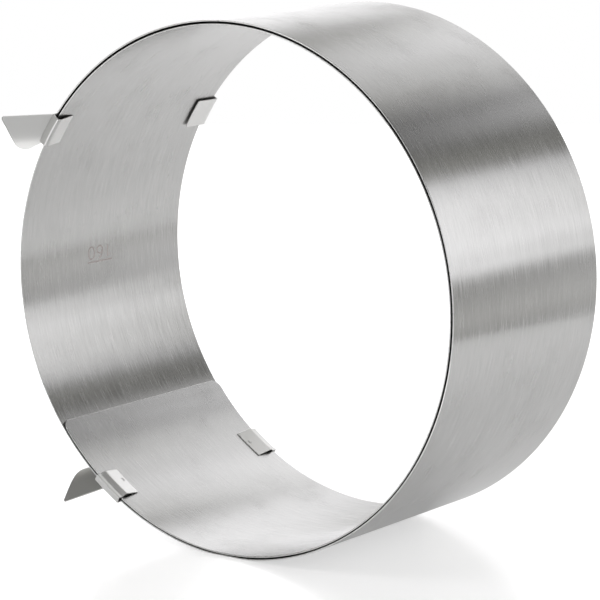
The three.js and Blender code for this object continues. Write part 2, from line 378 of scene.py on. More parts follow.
# Strokes of a digit in a box one wide and one high
DIGITS = {
    "0": [arc(0.5, 0.5, 0.5, 0.5, 90, 450, 20)],
    "1": [[(0.2, 0.74), (0.55, 1), (0.55, 0.5), (0.55, 0)]],
    "2": [
        arc(0.5, 0.72, 0.46, 0.28, 160, -30, 12) + [(0.45, 0.25), (0.04, 0), (0.5, 0), (0.98, 0)]
    ],
    "3": [arc(0.48, 0.76, 0.42, 0.24, 150, -90, 12), arc(0.48, 0.26, 0.48, 0.26, 90, -150, 12)],
    "4": [[(0.78, 0), (0.78, 0.5), (0.78, 1), (0.4, 0.6), (0, 0.26), (0.5, 0.26), (1, 0.26)]],
    "6": [arc(0.5, 0.3, 0.48, 0.3, 0, 360, 16), arc(0.78, 0.42, 0.76, 0.58, 180, 100, 8)],
    "8": [arc(0.5, 0.76, 0.42, 0.24, -90, 270, 14), arc(0.5, 0.27, 0.5, 0.27, 90, 450, 14)],
}


def scale_strokes():
    """Every stroke of the scale as points (across the band, along the band)."""
    strokes = []
    for number in SCALE_NUMBERS:
        length = SCALE_START + pi * MM * (number - SCALE_NUMBERS[0])
        strokes.append([(SCALE_MIDDLE - TICK / 2 + TICK * k / 4, length) for k in range(5)])
        for k, digit in enumerate(str(number)):
            left = SCALE_MIDDLE + (1 - k) * DIGIT_STEP + DIGIT_WIDTH / 2
            low = length - DIGIT_CLEAR - DIGIT_HEIGHT
            strokes += [
                [(left - x * DIGIT_WIDTH, low + y * DIGIT_HEIGHT) for x, y in stroke]
                for stroke in DIGITS[digit]
            ]
    return strokes


def etch_scale(draft, start, end):
    """Adds the strokes on this stretch of band, each segment a thin closed slab."""
    for stroke in scale_strokes():
        spots = [Vector(p) for p in stroke]
        edges = []
        for k, spot in enumerate(spots):
            run = spots[min(k + 1, len(spots) - 1)] - spots[max(k - 1, 0)]
            side = Vector((-run.y, run.x)).normalized() * STROKE / 2
            edges.append((spot - side, spot + side))
        for k in range(len(spots) - 1):
            if start <= (spots[k].y + spots[k + 1].y) / 2 < end:
                (a, d), (b, c) = edges[k : k + 2]
                add_slab(draft, [a, b, c, d])


def add_slab(draft, corners):
    """A thin slab from just above the inside of the band to a little way into the sheet."""
    half = chosen("band").sheet / 2
    base = len(draft.points)
    wraps = [wrap_at(c.y) for c in corners]
    for depth in (half + ETCH_LIFT, half - ETCH_SINK):
        for corner, wrap in zip(corners, wraps):
            draft.points.append(place(wrap, drawn_radius(wrap) - depth, corner.x))
    inwards = [-radial_at(wrap) for wrap in wraps]
    places = [(c.x, c.y) for c in corners]
    draft.face([base + c for c in range(4)], inwards, places, 1)
    draft.face([base + 4 + c for c in range(4)], [-n for n in inwards], places, 1)
    middle = sum(draft.points[base:], Vector()) / 8
    for a in range(4):
        b = (a + 1) % 4
        side = [base + c for c in (a, b, b + 4, a + 4)]
        points = [draft.points[c] for c in side]
        normal = (points[1] - points[0]).cross(points[3] - points[0])
        if normal.dot(points[0] - middle) < 0:
            normal = -normal
        draft.face(side, [normal] * 4, [places[c % 4] for c in (a, b, b, a)], 1)


# Folded clips. Their sections are drawn as (depth in from the rim, rise from the band's middle)

BEND_STEPS = 6
LINE_STEP = 1.5 * MM


def sample_line(corners, radius):
    """A line with its corners rounded, each by its radius."""
    points = [Vector(corners[0])]
    for k in range(1, len(corners) - 1):
        before, here, after = (Vector(corners[i]) for i in (k - 1, k, k + 1))
        into, away = (before - here).normalized(), (after - here).normalized()
        cut = radius[k] * tan((pi - into.angle(away)) / 2)
        start, end = here + into * cut, here + away * cut
        for step in range(BEND_STEPS + 1):
            t = step / BEND_STEPS
            points.append(start.lerp(here, t).lerp(here.lerp(end, t), t))
    points.append(Vector(corners[-1]))
    dense = [points[0]]
    for point in points[1:]:
        gap = (point - dense[-1]).length
        count = max(1, round(gap / LINE_STEP))
        dense += [dense[-1].lerp(point, k / count) for k in range(1, count + 1)]
    return dense


def round_end(normal, way):
    """Turns and directions round the end of a sheet, from one face on to the other."""
    turns = [pi * step / 4 for step in (1, 2, 3)]
    return [(turn, normal * cos(turn) + way * sin(turn)) for turn in turns]


def bent_outline(line, half):
    """Outline of bent sheet round a line, with round ends: each point with its normal and the
    distance run, and the whole distance."""
    runs = [0.0]
    for a, b in zip(line, line[1:]):
        runs.append(runs[-1] + (b - a).length)
    last = len(line) - 1
    ways = [(line[min(k + 1, last)] - line[max(k - 1, 0)]).normalized() for k in range(last + 1)]
    outline = []
    for side in (1, -1):
        for k in range(last + 1)[::side]:
            normal = Vector((-ways[k].y, ways[k].x)) * side
            run = runs[k] if side > 0 else 2 * runs[-1] + pi * half - runs[k]
            outline.append((line[k] + normal * half, normal, run))
        way = ways[k] * side
        for turn, normal in round_end(Vector((-way.y, way.x)), way):
            outline.append((line[k] + normal * half, normal, run + half * turn))
    return outline, run + pi * half


SEAT_GAP = 0.02 * MM
FOLD_LEAN = 0.5 * MM
SOFT_BEND = 1.1 * MM
SHOULDER_RADIUS = 0.4 * MM
FOLD_RADIUS = 0.35 * MM
# Outer clips: side of the rim, and in mm the flange's depth, its arch at the rim, the lift of its
# free edge and the clip's shift along the band
OUTER_CLIPS = (("front", -1, 7, 0.8, -0.25, -1), ("back", 1, 9, 0.4, 0.25, 0.9))
# Spot welds: depth and distance along the band. The inner ones lie this share up the arch
INNER_WELDS = ((6.9 * MM, -0.8 * MM),)
OUTER_WELDS = ((7.2 * MM, 2.6 * MM), (7.2 * MM, -2.6 * MM))
INNER_WELD_RISE = 0.28


def clip_seat():
    """Rise of a clip's sheet, from the middle of the layer that it is welded to."""
    return chosen("band").sheet / 2 + SEAT_GAP + chosen("clips").sheet / 2


def clip_far_side():
    """Rise of a clip's sheet beyond the other layer, which slides past it."""
    band, clips = chosen("band"), chosen("clips")
    return band.pitch + band.sheet / 2 + clips.slide + clips.sheet / 2


def inner_clip_line():
    """Section of an inner clip: a flange that arches over the band's inside, a fold and a leg."""
    clips = chosen("clips")
    seat, leg = clip_seat(), clip_far_side() - lean_at(length_at(INNER_CLIP_WRAP))
    shoulder = -seat - 0.05 * clips.arch
    corners = [
        (8.7 * MM, -seat),
        (2.2 * MM, -seat - clips.arch),
        (0.4 * MM, shoulder),
        (-clips.reach, shoulder),
        (FOLD_LEAN - clips.reach, leg),
        (7.5 * MM, leg),
    ]
    return sample_line(corners, [0, SOFT_BEND, SHOULDER_RADIUS, SHOULDER_RADIUS, FOLD_RADIUS, 0])


def outer_clip_line(depth, arch, lift):
    """Section of an outer clip: a flange inside both layers, a fold and a leg on the outside."""
    clips = chosen("clips")
    seat, flange = clip_seat(), clip_far_side()
    corners = [
        (depth, -flange - lift),
        (2.5 * MM, -flange - lift * 0.3 - arch * 0.6),
        (0.1 * MM, -flange - arch),
        (-clips.reach, -flange - arch * 0.7),
        (FOLD_LEAN - clips.reach, seat),
        (9 * MM, seat),
    ]
    return sample_line(corners, [0, SOFT_BEND, SHOULDER_RADIUS, FOLD_RADIUS, FOLD_RADIUS, 0])


CLIP_STATIONS = 12
# Sections that round a clip's cut ends: distance from the end and thickness, both in half sheets
CLIP_LIPS = ((0.0, 0.3), (0.25, 0.65), (1.0, 1.0))


def clip_piece(at, name, body, line, centre_wrap, side, welds, top):
    """A folded clip at the inner or outer end: its line carried round a short stretch of the ring.
    Side is -1 at the front rim. Top is the rise of the face with the welds, below zero inside."""
    node = f"{at}_end_clip_{name}"
    band = chosen("band")
    middle_radius = drawn_radius(centre_wrap)
    half_angle = CLIP_LENGTH / 2 / middle_radius
    half = chosen("clips").sheet / 2
    spots = [(-half_angle + half * shift / middle_radius, scale, -1) for shift, scale in CLIP_LIPS]
    for k in range(1, CLIP_STATIONS):
        spots.append((half_angle * (2 * k / CLIP_STATIONS - 1), 1.0, 0))
    spots += [(-turn, scale, 1) for turn, scale, _ in reversed(spots[:3])]
    loops = []
    for turn, scale, end in spots:
        wrap = centre_wrap + turn
        outline, seam = bent_outline(line, half * scale)
        out, tangent = radial_at(wrap), tangent_at(wrap)
        lip = acos(scale) if end else 0.0
        radius = middle_radius + band.pitch * turn / tau
        corners = []
        for p, n, run in outline:
            point = place(wrap, radius + p.y, side * (band.width / 2 - p.x))
            normal = (n.y * out - side * n.x * ACROSS) * cos(lip)
            normal += tangent * end * sin(lip)
            corners.append((point, normal, (run, wrap * radius)))
        loops.append({"corners": corners, "seam": seam, "end": tangent * (1 if turn > 0 else -1)})
    draft = skin(loops)
    for depth, along in welds:
        add_weld(draft, centre_wrap, depth, along, top, side)
    piece = draft.make(f"{at}_clip_{name}", "clip_steel", "weld_dots")
    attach(piece, body)
    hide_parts(node)


# Rings of a spot weld from below its rim to its middle: radius and height in mm
WELD_RINGS = [(0.85, -0.06), (0.85, 0), (0.72, 0.05), (0.55, 0.055), (0.36, 0.01), (0.15, -0.005)]
WELD_SEGMENTS = 16
WELD_STEEPEST = 0.02


def add_weld(draft, centre_wrap, depth, along, rise, side):
    """A spot weld: a low ring of metal round a small dent."""
    radius = drawn_radius(centre_wrap)
    middle = centre_wrap + along / radius
    out, tangent = radial_at(middle) * (1 if rise > 0 else -1), tangent_at(middle)
    top = place(middle, radius + rise, side * (chosen("band").width / 2 - depth))
    base = len(draft.points)

    def way_at(step):
        turn = tau * step / WELD_SEGMENTS
        return ACROSS * cos(turn) + tangent * sin(turn)

    for reach, height in WELD_RINGS:
        for k in range(WELD_SEGMENTS):
            draft.points.append(top + way_at(k) * reach * MM + out * height * MM)
    for row, ((reach, height), (inner, inner_height)) in enumerate(zip(WELD_RINGS, WELD_RINGS[1:])):
        slope = (height - inner_height) / max(reach - inner, WELD_STEEPEST)
        ring = base + row * WELD_SEGMENTS
        for k in range(WELD_SEGMENTS):
            after = (k + 1) % WELD_SEGMENTS
            corners = [ring + c for c in (k, after, after + WELD_SEGMENTS, k + WELD_SEGMENTS)]
            way = way_at(k + 0.5)
            draft.face(corners, [out - way * slope if row else way] * 4, [(along, depth)] * 4, 1)
    for row, normal in ((0, -out), (len(WELD_RINGS) - 1, out)):
        corners = [base + row * WELD_SEGMENTS + k for k in range(WELD_SEGMENTS)]
        draft.face(corners, [normal] * WELD_SEGMENTS, [(along, depth)] * WELD_SEGMENTS, 1)


# Finger tabs. The flat plate's outline is drawn as (out from the leg, across)

TAB_LENGTH = 19.5 * MM
TAB_TIP = 0.9 * MM
TAB_HUMP = (12.3 * MM, 7.7 * MM, 3.9 * MM)
TAB_ROOT_DEPTH = 4 * MM
TAB_FLAT = 5.5 * MM
TAB_CURL = 16 * MM
TAB_SLANT = radians(32)
TAB_ROWS = 34
TAB_FILLET = 0.7 * MM
TAB_SINK = 0.06 * MM
TAB_THIN_EDGE = 0.3
TAB_STEEPEST_FOOT = 0.96
# Rise of the solid clips' legs from the middle of their sheet, to the face that carries the tab
SOLID_LEG = {"inner": 2.85 * MM, "outer": 1.0 * MM}
TABS = {
    "inner": {"start": -2 * MM, "root": 3.6 * MM, "lean": 10, "turn": 30, "towards": 1},
    "outer": {"start": 5.4 * MM, "root": 10.5 * MM, "lean": 33, "turn": -20, "towards": -1},
}


def tab_outline(root):
    """Outline of the flat plate, like a belt round four discs."""
    discs = [
        (Vector((0, 0)), 0.0),
        (Vector((TAB_LENGTH - TAB_TIP, TAB_TIP)), TAB_TIP),
        (Vector(TAB_HUMP[:2]), TAB_HUMP[2]),
        (Vector((sin(TAB_SLANT), cos(TAB_SLANT))) * root, 0.0),
    ]
    leaving = []
    for k, (centre, radius) in enumerate(discs):
        after, next_radius = discs[(k + 1) % 4]
        gap = after - centre
        leaving.append(atan2(gap.y, gap.x) - acos((radius - next_radius) / gap.length))
    outline = []
    for k, (centre, radius) in enumerate(discs):
        start, end = leaving[k - 1], leaving[k]
        while end < start:
            end += tau
        for step in range(25):
            turn = start + (end - start) * step / 24
            outline.append(centre + Vector((cos(turn), sin(turn))) * radius)
    return outline


def span_at(outline, across):
    """Where the outline starts and ends at a distance across."""
    crossings = []
    for a, b in zip(outline, outline[1:] + outline[:1]):
        if (a.y > across) != (b.y > across):
            crossings.append(a.x + (b.x - a.x) * (across - a.y) / (b.y - a.y))
    return min(crossings), max(crossings)


def reach_to_radius(point, along, radial, radius):
    """How far to go from a point, along a direction, to be at a distance from the ring's axis."""
    there = point.copy()
    for _ in range(4):
        there += along * (radius - hypot(there.x, there.z - CENTRE)) / along.dot(radial)
    return (there - point).dot(along)


# Shares of the tab's length at which it is divided, closest where it meets the leg
TAB_COLUMNS = [0, 0.008, 0.016, 0.026, 0.038, 0.055, 0.08, 0.13]
TAB_COLUMNS += [0.2 + 0.08 * k for k in range(11)]


def tab_piece(end, body, centre_wrap):
    """Finger tab: a low fin on the leg of a front clip, with a straight edge and a curled hump."""
    band, clips = chosen("band"), chosen("clips")
    tab = TABS[end]
    towards = tab["towards"]
    radial, tangent = radial_at(centre_wrap), tangent_at(centre_wrap) * towards
    lean, turned = radians(tab["lean"]), radians(tab["turn"])
    outward = radial * cos(lean) - ACROSS * sin(lean)
    along = outward * cos(TAB_SLANT) - tangent * sin(TAB_SLANT)
    across = -outward * sin(TAB_SLANT) - tangent * cos(TAB_SLANT)
    face = across.cross(along) * towards
    spin = Matrix.Rotation(towards * turned, 3, along)
    across, face = spin @ across, spin @ face
    solid_radius = SOLID_START + SOLID_PITCH * centre_wrap / tau
    root = radial * (solid_radius + SOLID_LEG[end]) + tangent * tab["start"]
    root += Vector((0, TAB_ROOT_DEPTH - band.width / 2, CENTRE))
    leg = clip_far_side() - lean_at(length_at(centre_wrap)) if end == "inner" else clip_seat()
    leg_radius = drawn_radius(centre_wrap) + leg + clips.sheet / 2
    outline = tab_outline(tab["root"])
    full = TAB_HUMP[1] + TAB_HUMP[2]
    root_across = tab["root"] * cos(TAB_SLANT)
    half = clips.sheet / 2
    loops = []
    for k in range(TAB_ROWS):
        share = 0.5 - 0.5 * cos(pi * (k + 0.35) / (TAB_ROWS - 0.3))
        width = full * share
        curl = max(width - TAB_FLAT, 0) / TAB_CURL
        middle = root + across * (min(width, TAB_FLAT) + TAB_CURL * sin(curl))
        middle += face * TAB_CURL * (cos(curl) - 1)
        normal = face * cos(curl) + across * sin(curl)
        sideways = across * cos(curl) - face * sin(curl)
        edge, far = span_at(outline, width)
        on_leg = reach_to_radius(middle, along, radial, leg_radius - TAB_SINK)
        near = on_leg if width < root_across else max(edge, on_leg)
        rim = min(width, full - width)
        lip = asin(max(1 - rim / half, 0)) if rim < half else 0.0
        end_way = sideways * (-1 if width < full / 2 else 1)
        half_here = half * max(cos(lip), TAB_THIN_EDGE)
        corners = []
        for facing in (1, -1):
            for column in TAB_COLUMNS[::facing]:
                out = near + (far - near) * column
                spot = middle + along * out
                above = hypot(spot.x, spot.z - CENTRE) - leg_radius
                foot = min(max(1 - above / TAB_FILLET, 0), TAB_STEEPEST_FOOT)
                foot = foot if near == on_leg else 0.0
                upright = sqrt(1 - foot * foot)
                point = spot + normal * facing * (half_here + TAB_FILLET * (1 - upright))
                way = normal * facing * upright + along * foot
                way = way * cos(lip) + end_way * sin(lip)
                corners.append((point, way, (width + (0 if facing > 0 else 2 * full), out)))
            for turn, way in round_end(normal, along) if facing > 0 else ():
                point = middle + along * far + way * half_here
                way = way * cos(lip) + end_way * sin(lip)
                corners.append((point, way, (width, far + half_here * sin(turn))))
        loops.append({"corners": corners, "seam": 0, "end": end_way})
    columns = len(TAB_COLUMNS)
    # The tab's rounded far edge takes the cut edge colour, painted dark as shade
    draft = skin(loops, (columns - 1, columns + 3))
    piece = draft.make(f"{end}_finger_tab", "clip_steel", "cut_edge")
    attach(piece, body)


# Shader node groups


class NodeTree:
    """Small helper to add linked nodes to a tree."""

    def __init__(self, tree):
        self.tree = tree

    def add(self, kind, **settings):
        node = self.tree.nodes.new(kind)
        for key, value in settings.items():
            setattr(node, key, value)
        return node

    def link(self, output, socket):
        self.tree.links.new(output, socket)

    def feed(self, socket, value):
        if isinstance(value, bpy.types.NodeSocket):
            self.link(value, socket)
        else:
            socket.default_value = value

    def fill(self, sockets, **values):
        """Feeds inputs by their names, in which an underscore is a space."""
        for title, value in values.items():
            self.feed(sockets[title.replace("_", " ")], value)

    def math(self, operation, *values):
        node = self.add("ShaderNodeMath", operation=operation)
        for socket, value in zip(node.inputs, values):
            self.feed(socket, value)
        return node.outputs[0]

    def vector(self, operation, vector, other=None):
        """Vector maths with one more input: a factor for SCALE, or a vector."""
        node = self.add("ShaderNodeVectorMath", operation=operation)
        self.feed(node.inputs[0], vector)
        if other is not None:
            self.feed(node.inputs["Scale" if operation == "SCALE" else 1], other)
        return node.outputs["Vector" if operation == "SCALE" else "Value"]

    def split(self, vector):
        node = self.add("ShaderNodeSeparateXYZ")
        self.link(vector, node.inputs[0])
        return node.outputs

    def coordinate(self, kind):
        return self.add("ShaderNodeTexCoord").outputs[kind]

    def ray(self, kind):
        return self.add("ShaderNodeLightPath").outputs[kind]

    def noise(self, vector, detail, rough, scale=1.0):
        node = self.add("ShaderNodeTexNoise")
        self.fill(node.inputs, Vector=vector, Scale=scale, Detail=detail, Roughness=rough)
        return node.outputs["Fac"]

    def remap(self, value, low, high, to_low=0.0, to_high=1.0, smooth=True):
        kind = "SMOOTHSTEP" if smooth else "LINEAR"
        node = self.add("ShaderNodeMapRange", interpolation_type=kind)
        self.fill(node.inputs, Value=value, From_Min=low, From_Max=high)
        self.fill(node.inputs, To_Min=to_low, To_Max=to_high)
        return node.outputs["Result"]

    def group(self, name, **values):
        """Outputs of a node group whose inputs are filled with the values."""
        node = self.add("ShaderNodeGroup", node_tree=bpy.data.node_groups[name])
        self.fill(node.inputs, **values)
        return node.outputs


def new_group(name, inputs, outputs):
    """Node group. Inputs have a default, or None for a vector, and outputs are single values."""
    group = bpy.data.node_groups.new(name, "ShaderNodeTree")
    for title, default in inputs.items():
        kind = "NodeSocketVector" if default is None else "NodeSocketFloat"
        socket = group.interface.new_socket(title, in_out="INPUT", socket_type=kind)
        if default is not None:
            socket.default_value = default
    for title in outputs:
        group.interface.new_socket(title, in_out="OUTPUT", socket_type="NodeSocketFloat")
    nodes = NodeTree(group)
    return nodes, nodes.add("NodeGroupInput").outputs, nodes.add("NodeGroupOutput").inputs


# Layers of hairlines: how close they lie across and along, an offset and the share of the mix
GRAIN_LAYERS = ((1.0, 1.0, 0.0, 0.65), (0.3, 0.4, 7.3, 0.25), (0.05, 0.06, 19.1, 0.1))
GRAIN_WANDER = 1.5
GRAIN_ROUGHNESS = 0.25


def brushed_grain_group():
    """Hairlines drawn along the band: shade, roughness and height from the place on the sheet."""
    nodes, given, made = new_group(
        "Brushed grain",
        {"Place": None, "Line Width": MM, "Line Length": 0.01, "Contrast": 0.1, "Roughness": 0.3},
        ["Shade", "Roughness", "Height"],
    )
    spot = nodes.split(given["Place"])
    across = nodes.math("DIVIDE", spot["X"], given["Line Width"])
    along = nodes.math("DIVIDE", spot["Y"], given["Line Length"])
    wander = nodes.noise(given["Place"], detail=1.0, rough=0.5, scale=60.0)
    across = nodes.math("MULTIPLY_ADD", wander, GRAIN_WANDER, across)
    swing = -0.5
    for wide, long, offset, share in GRAIN_LAYERS:
        join = nodes.add("ShaderNodeCombineXYZ")
        x, y = nodes.math("MULTIPLY", across, wide), nodes.math("MULTIPLY", along, long)
        nodes.fill(join.inputs, X=x, Y=y, Z=offset)
        lines = nodes.noise(join.outputs[0], detail=2.0, rough=0.6)
        if offset == 0:
            nodes.link(lines, made["Height"])
        swing = nodes.math("MULTIPLY_ADD", lines, share, swing)
    shade = nodes.math("MULTIPLY_ADD", swing, given["Contrast"], 1.0)
    rough = nodes.math("MULTIPLY_ADD", swing, GRAIN_ROUGHNESS, given["Roughness"])
    nodes.fill(made, Shade=shade, Roughness=rough)


def handling_group():
    """Faint cloudiness from handling: a mask that changes slowly over the steel."""
    inputs = {"Place": None, "Patch Size": 30 * MM}
    nodes, given, made = new_group("Handling haze", inputs, ["Haze"])
    spot = nodes.vector("SCALE", given["Place"], nodes.math("DIVIDE", 1.0, given["Patch Size"]))
    cloud = nodes.noise(spot, detail=4.0, rough=0.6)
    nodes.link(nodes.remap(cloud, 0.45, 0.75), made["Haze"])


def edge_wear_group():
    """Rubbed rims and cut ends of a sheet, from the distance to its edges: partly wear and partly a
    painted highlight, as the brightening stands in for the bright line that light draws along the
    rounded edges. The second rim is half the girth beyond the first."""
    nodes, given, made = new_group(
        "Edge burnish and highlight",
        {"Place": None, "Rim": 42.5 * MM, "Girth": 170 * MM, "Length": 1.0, "Width": 0.5 * MM},
        ["Wear"],
    )
    spot = nodes.split(given["Place"])
    past_rim = nodes.math("SUBTRACT", spot["X"], given["Rim"])
    from_rim = nodes.math("PINGPONG", past_rim, nodes.math("MULTIPLY", given["Girth"], 0.25))
    from_end = nodes.math("PINGPONG", spot["Y"], nodes.math("MULTIPLY", given["Length"], 0.5))
    near_edge = nodes.remap(nodes.math("MINIMUM", from_rim, from_end), 0.0, given["Width"], 1.0, 0.0)
    broken = nodes.noise(given["Place"], detail=3.0, rough=0.6, scale=900.0)
    broken = nodes.remap(broken, 0.25, 0.5, smooth=False)
    nodes.link(nodes.math("MULTIPLY", near_edge, broken), made["Wear"])


# Materials

HAZE_SHADE = -0.035
HAZE_ROUGHNESS = 0.03
# Along rubbed edges the colour is brightened, partly wear and partly a painted highlight, and the
# roughness rises
WEAR_AND_HIGHLIGHT_SHADE = 0.5
WEAR_ROUGHNESS = 0.1


def new_material(name):
    """A material: the helper for its nodes and the inputs of its shader."""
    material = bpy.data.materials.new(name)
    material.use_nodes = True
    return NodeTree(material.node_tree), material.node_tree.nodes["Principled BSDF"].inputs


def grained_metal(name, line, contrast, roughness):
    """Metal with hairlines of a line's (width, length). Returns the helper, the shader's inputs,
    the place on the sheet, from the brush map in metres, and the grain."""
    nodes, shader = new_material(name)
    shader["Metallic"].default_value = 1.0
    spot = nodes.add("ShaderNodeUVMap", uv_map="brush").outputs["UV"]
    width, length = line
    grain = nodes.group(
        "Brushed grain", Place=spot, Line_Width=width, Line_Length=length, Contrast=contrast,
        Roughness=roughness,
    )
    return nodes, shader, spot, grain


def steel(name, tint, line, contrast, roughness, anisotropic=0.0, edges=None):
    """Brushed stainless steel. Edges are the place of the first rim, the girth and the length."""
    nodes, shader, spot, grain = grained_metal(name, line, contrast, roughness)
    haze = nodes.group("Handling haze", Place=spot, Patch_Size=20 * MM)["Haze"]
    shade = nodes.math("MULTIPLY_ADD", haze, HAZE_SHADE, grain["Shade"])
    rough = nodes.math("MULTIPLY_ADD", haze, HAZE_ROUGHNESS, grain["Roughness"])
    # Rims and cut ends: colour brightened there, partly wear and partly a painted highlight
    if edges:
        rim, girth, length = edges
        wear_and_highlight = nodes.group("Edge burnish and highlight", Place=spot, Rim=rim, Girth=girth, Length=length)["Wear"]
        shade = nodes.math("MULTIPLY_ADD", wear_and_highlight, WEAR_AND_HIGHLIGHT_SHADE, shade)
        rough = nodes.math("MULTIPLY_ADD", wear_and_highlight, WEAR_ROUGHNESS, rough)
    bump = nodes.add("ShaderNodeBump")
    nodes.fill(bump.inputs, Strength=0.12, Distance=0.02 * MM, Height=grain["Height"])
    brushed = nodes.add("ShaderNodeTangent", direction_type="UV_MAP", uv_map="brush")
    nodes.fill(shader, Base_Color=nodes.vector("SCALE", tint, shade), Roughness=rough)
    nodes.fill(shader, Anisotropic=anisotropic, Tangent=brushed.outputs[0], Normal=bump.outputs[0])


def etched(name, tint):
    """Numbers etched grey: matt, with the grain showing through faintly."""
    nodes, shader, _, grain = grained_metal(name, (0.3 * MM, 20 * MM), contrast=0.5, roughness=0.5)
    shade = nodes.vector("SCALE", tint, grain["Shade"])
    nodes.fill(shader, Base_Color=shade, Roughness=grain["Roughness"])


def make_materials():
    """Makes the materials of the ring and the node groups that they share."""
    brushed_grain_group()
    handling_group()
    edge_wear_group()
    band, look = chosen("band"), chosen("steel")
    flat = band.width - band.sheet
    girth = 2 * flat + pi * band.sheet
    rim = flat / 2 + pi * band.sheet / 4
    steel(
        "brushed_band", look.band, (0.35 * MM, 9 * MM), contrast=0.65, roughness=0.24,
        anisotropic=0.88, edges=(rim, girth, BAND_LENGTH),
    )
    steel("weld_dots", look.band, (0.2 * MM, 0.6 * MM), 0.5, 0.4)
    # Tabs' cut edges: painted shade, a dark colour for their dark outline
    steel("cut_edge", look.cut, (0.2 * MM, 2 * MM), 0.4, 0.45)
    etched("etched_scale", look.ink)


# Studio

# How far the table reaches, as the camera sees it
TABLE_SIDES = (-0.6, 0.328)
TABLE_DEPTHS = (-0.27, 1.1)
# Fades are (start, end, value before, value after), and 0 and 1 where a value is left out. The
# table's own light: by distance from the ring to the camera, and by depth as seen in the steel
TABLE_LIFT = (0.3, 0.45, 0.47, 0.7)
TABLE_MIRROR_LIFT = (-0.16, -0.1, 1.0, 0.23)
# The world's light: full behind the ring, and in front dimmer to the left and below
WORLD_LIGHT = 0.85
WORLD_BACK = (-0.6, -0.1)
WORLD_LEFT = (-0.3, 0.6, 0.3)
WORLD_BELOW = (-0.25, -0.03, 0.5)
# The light that the front rims mirror to the camera, near this direction
RIM_MIRROR = (-0.579, -0.796, -0.179)
RIM_GLOW = (0.92, 0.97, 0.0, 1.3)
# Walls of light round the ring's axis
TENT_RADIUS = 0.38
TENT_ANGLES = (-30, 196)
TENT_DEPTHS = (-0.45, 1.1)
TENT_STEPS = 72
# Lights of the walls from front to back: degrees from the right, upwards, and the strength there
FRONT_LIGHTS = [
    (0, 1.0), (24, 1.0), (32, 0.1), (62, 0.1), (72, 1.9), (115, 1.9), (130, 0.2), (166, 0.2),
    (176, 1.0), (360, 1.0),
]
BESIDE_LIGHTS = [
    (0, 1.0), (24, 1.0), (32, 0.1), (94, 0.1), (104, 0.9), (122, 0.9), (136, 0.05), (196, 0.05),
    (340, 1.0), (360, 1.0),
]
OVER_LIGHTS = [
    (0, 1.1), (26, 1.1), (34, 0.1), (92, 0.1), (104, 0.8), (130, 0.8), (150, 0.35), (196, 0.35),
    (340, 0.6), (360, 1.1),
]
NEAR_LIGHTS = [
    (0, 0.2), (4, 1.8), (8, 1.63), (13, 1.8), (29, 1.8), (33, 1.66), (37, 1.52), (41, 0.33),
    (45, 0.41), (50, 0.05), (65, 0.05), (71, 0.19), (78, 0.71), (85, 0.85), (92, 0.84), (99, 1.0),
    (107, 0.7), (115, 0.55), (123, 0.07), (133, 1.74), (142, 1.8), (155, 1.8), (170, 1.54),
    (196, 1.52), (330, 0.87), (338, 0.05), (345, 0.65), (360, 0.2),
]
FAR_LIGHTS = [
    (0, 0.92), (5, 0.29), (10, 0.91), (16, 0.64), (22, 0.46), (28, 0.45), (33, 0.3), (37, 0.16),
    (41, 0.05), (45, 0.05), (49, 0.13), (54, 0.05), (60, 1.13), (66, 1.7), (72, 0.93), (78, 1.7),
    (84, 1.3), (90, 1.47), (97, 1.21), (104, 1.67), (112, 1.8), (142, 1.8), (155, 1.33),
    (170, 0.96), (196, 0.19), (330, 1.8), (338, 0.63), (345, 1.09), (360, 0.92),
]
LIGHT_ZONES = ((-0.21, BESIDE_LIGHTS), (-0.05, OVER_LIGHTS), (0.1, NEAR_LIGHTS), (0.5, FAR_LIGHTS))
ZONE_BLEND = 0.015
DIM_TINT = (1.0, 0.99, 0.88)
BRIGHT_TINT = (1.0, 0.992, 1.005)
CAMERA_PLACE = (593.6, -817.9, 262.6)
CAMERA_AIM = (-0.5787, 0.7956, -0.1792)


def studio_world():
    """White to the camera, and a plain light for everything else, dimmer in front."""
    world = bpy.data.worlds.new("studio")
    bpy.context.scene.world = world
    world.use_nodes = True
    nodes = NodeTree(world.node_tree)
    way = nodes.coordinate("Generated")
    part = nodes.split(way)
    back = nodes.remap(part["Y"], *WORLD_BACK)
    right = nodes.remap(part["X"], *WORLD_LEFT)
    above = nodes.remap(part["Z"], *WORLD_BELOW)
    glow = nodes.remap(nodes.vector("DOT_PRODUCT", way, RIM_MIRROR), *RIM_GLOW)
    level = nodes.math("MAXIMUM", back, nodes.math("MULTIPLY", right, above))
    level = nodes.math("MAXIMUM", level, glow)
    level = nodes.math("MULTIPLY", level, WORLD_LIGHT * chosen("studio").light)
    seen = nodes.remap(nodes.ray("Is Camera Ray"), 0.0, 1.0, level)
    background = world.node_tree.nodes["Background"].inputs
    nodes.fill(background, Color=(1, 1, 1, 1), Strength=seen)


def stage_piece(name, points, faces, material, height=0.0):
    mesh = bpy.data.meshes.new(name)
    mesh.from_pydata(points, [], faces)
    mesh.materials.append(bpy.data.materials[material])
    piece = add_object(name, mesh)
    piece.location.z = height


def light_ramp(nodes, turn, stops):
    """Strength of the light at a turn round the ring's axis. The ramp's colours hold half of it."""
    ramp = nodes.add("ShaderNodeValToRGB")
    nodes.link(turn, ramp.inputs["Fac"])
    elements = ramp.color_ramp.elements
    for angle, _ in stops[1:-1]:
        elements.new(angle / 360)
    for element, (_, level) in zip(elements, stops):
        element.color = (level / 2, level / 2, level / 2, 1)
    return nodes.math("MULTIPLY", ramp.outputs["Color"], 2.0)


